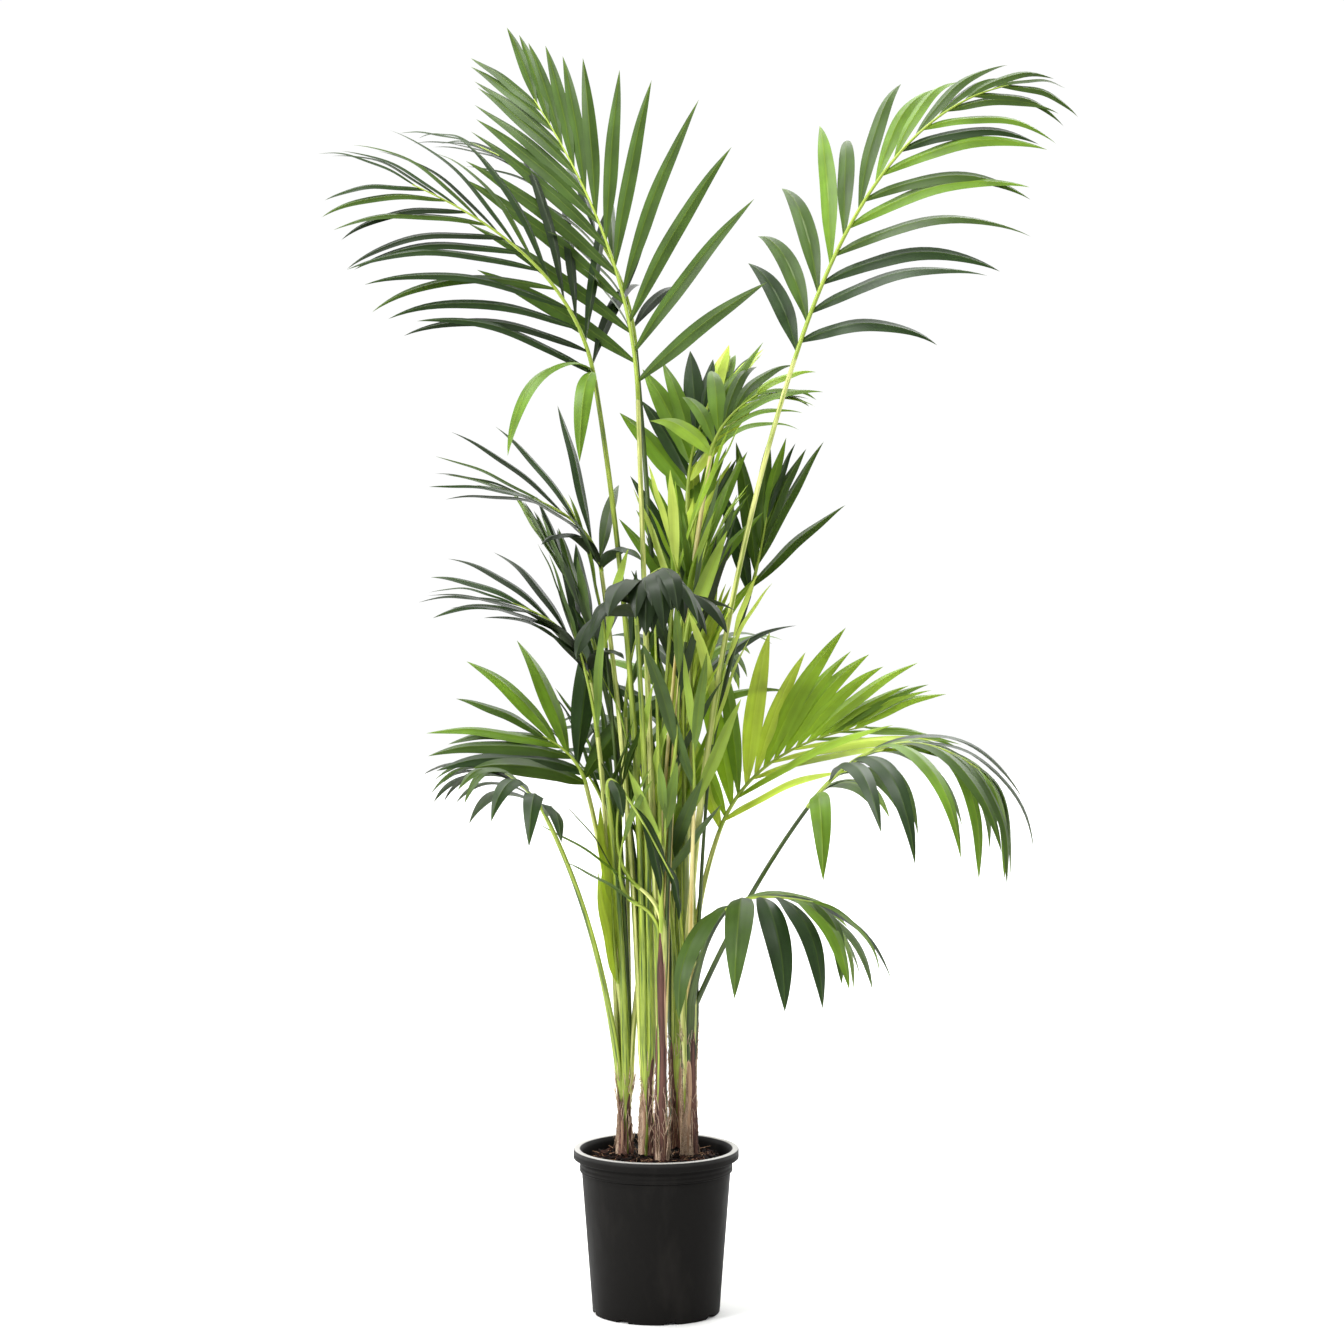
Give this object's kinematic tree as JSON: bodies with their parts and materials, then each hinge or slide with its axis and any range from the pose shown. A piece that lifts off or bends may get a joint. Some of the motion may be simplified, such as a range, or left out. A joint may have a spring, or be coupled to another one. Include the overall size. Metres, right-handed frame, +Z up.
{
  "type": "potted kentia palm",
  "caption": "Tall indoor feather palm: a clump of stems in a round nursery pot, with long petioles and arching fronds of narrow pointed leaflets.",
  "frame": {"origin": "centre of the pot's underside, on the surface that the pot stands on", "axes": "+Z up along the pot's axis, +X to the right of the front view, +Y towards the back"},
  "size_m": [1.0733, 0.8375, 1.8742],
  "materials": {
    "pot_plastic": "moulded",
    "potting_soil": "rough",
    "leaf_sheath": "fibrous",
    "petiole": "satin",
    "leaf": "satin"
  },
  "bodies": {
    "root": {"frond_back_high": "leaf", "frond_back_low": "leaf", "frond_column_left": "leaf", "frond_crown_back": "leaf", "frond_crown_right": "leaf", "frond_inner_left": "leaf", "frond_inner_right": "leaf", "frond_low_front": "leaf", "frond_low_left_fan": "leaf", "frond_low_left_front": "leaf", "frond_low_right_arch": "leaf", "frond_low_right_fan": "leaf", "frond_low_right_front": "leaf", "frond_lower_left": "leaf", "frond_middle_back": "leaf", "frond_middle_front": "leaf", "frond_middle_left": "leaf", "frond_middle_right": "leaf", "frond_top_back": "leaf", "frond_top_centre": "leaf", "frond_top_left": "leaf", "frond_top_right": "leaf", "frond_young_left": "leaf", "petiole_back_high": "petiole", "petiole_back_low": "petiole", "petiole_column_left": "petiole", "petiole_crown_back": "petiole", "petiole_crown_right": "petiole", "petiole_inner_left": "petiole", "petiole_inner_right": "petiole", "petiole_low_front": "petiole", "petiole_low_left_fan": "petiole", "petiole_low_left_front": "petiole", "petiole_low_right_arch": "petiole", "petiole_low_right_fan": "petiole", "petiole_low_right_front": "petiole", "petiole_lower_left": "petiole", "petiole_middle_back": "petiole", "petiole_middle_front": "petiole", "petiole_middle_left": "petiole", "petiole_middle_right": "petiole", "petiole_top_back": "petiole", "petiole_top_centre": "petiole", "petiole_top_left": "petiole", "petiole_top_right": "petiole", "petiole_young_left": "petiole", "pot": "pot_plastic", "soil": "potting_soil", "spear_front": "petiole", "spear_inner": "petiole", "stem_back": "leaf_sheath", "stem_front": "leaf_sheath", "stem_inner": "leaf_sheath", "stem_left": "leaf_sheath", "stem_right": "leaf_sheath"}
  },
  "joints": []
}
